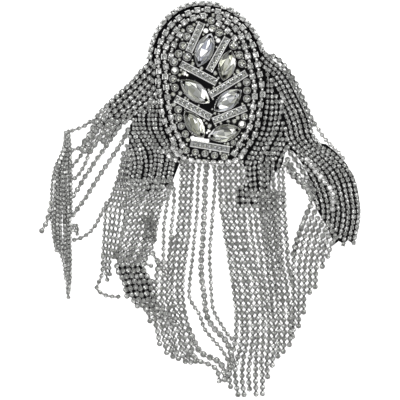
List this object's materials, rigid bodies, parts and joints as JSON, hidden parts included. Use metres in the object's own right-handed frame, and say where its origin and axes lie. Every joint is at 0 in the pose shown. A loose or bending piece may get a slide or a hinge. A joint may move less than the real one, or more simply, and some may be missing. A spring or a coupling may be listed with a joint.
{
  "type": "bullion epaulette",
  "caption": "Fringed shoulder epaulette of crystal cup chain on black felt, with a raised plaque of pointed stones, round stones and set bars.",
  "frame": {"origin": "under the middle of the raised plaque, on the underside of the felt backing", "axes": "+Z out of the plaque's face, +Y towards the plaque's top, +X to the right as seen from the face"},
  "size_m": [0.1615, 0.1985, 0.0133],
  "materials": {
    "felt": "dense black felt",
    "silver": "bright silver plate",
    "crystal": "clear cut crystal"
  },
  "bodies": {
    "root": {"felt_backing": "felt", "raised_pad": "felt", "rim_chain": "silver", "plaque_rows": "silver", "round_cups": "silver", "marquise_cups": "silver", "bar_frames": "silver", "bar_stones": "crystal", "wing_rows_left": "silver", "outer_locks_left": "silver", "inner_locks_left": "silver", "lower_locks_left": "silver", "rows_right": "silver", "fringe_rows_right": "silver", "fringe_middle": "silver", "edge_strands_right": "silver", "fringe_fan_right": "silver", "tassel_far_left": "silver", "far_strands_left": "silver", "centre_strands": "silver", "marquise_1": "crystal", "marquise_2": "crystal", "marquise_3": "crystal", "marquise_4": "crystal", "marquise_5": "crystal", "marquise_6": "crystal", "round_stone_1": "crystal", "round_stone_2": "crystal", "round_stone_3": "crystal", "round_stone_4": "crystal", "round_stone_5": "crystal", "round_stone_6": "crystal", "round_stone_7": "crystal", "round_stone_8": "crystal", "round_stone_9": "crystal", "round_stone_10": "crystal", "round_stone_11": "crystal", "round_stone_12": "crystal", "round_stone_13": "crystal", "round_stone_14": "crystal", "round_stone_15": "crystal", "round_stone_16": "crystal", "round_stone_17": "crystal", "round_stone_18": "crystal", "round_stone_19": "crystal", "round_stone_20": "crystal", "round_stone_21": "crystal", "round_stone_22": "crystal", "round_stone_23": "crystal", "round_stone_24": "crystal", "round_stone_25": "crystal", "round_stone_26": "crystal", "round_stone_27": "crystal", "round_stone_28": "crystal", "round_stone_29": "crystal", "round_stone_30": "crystal", "round_stone_31": "crystal"}
  },
  "joints": []
}
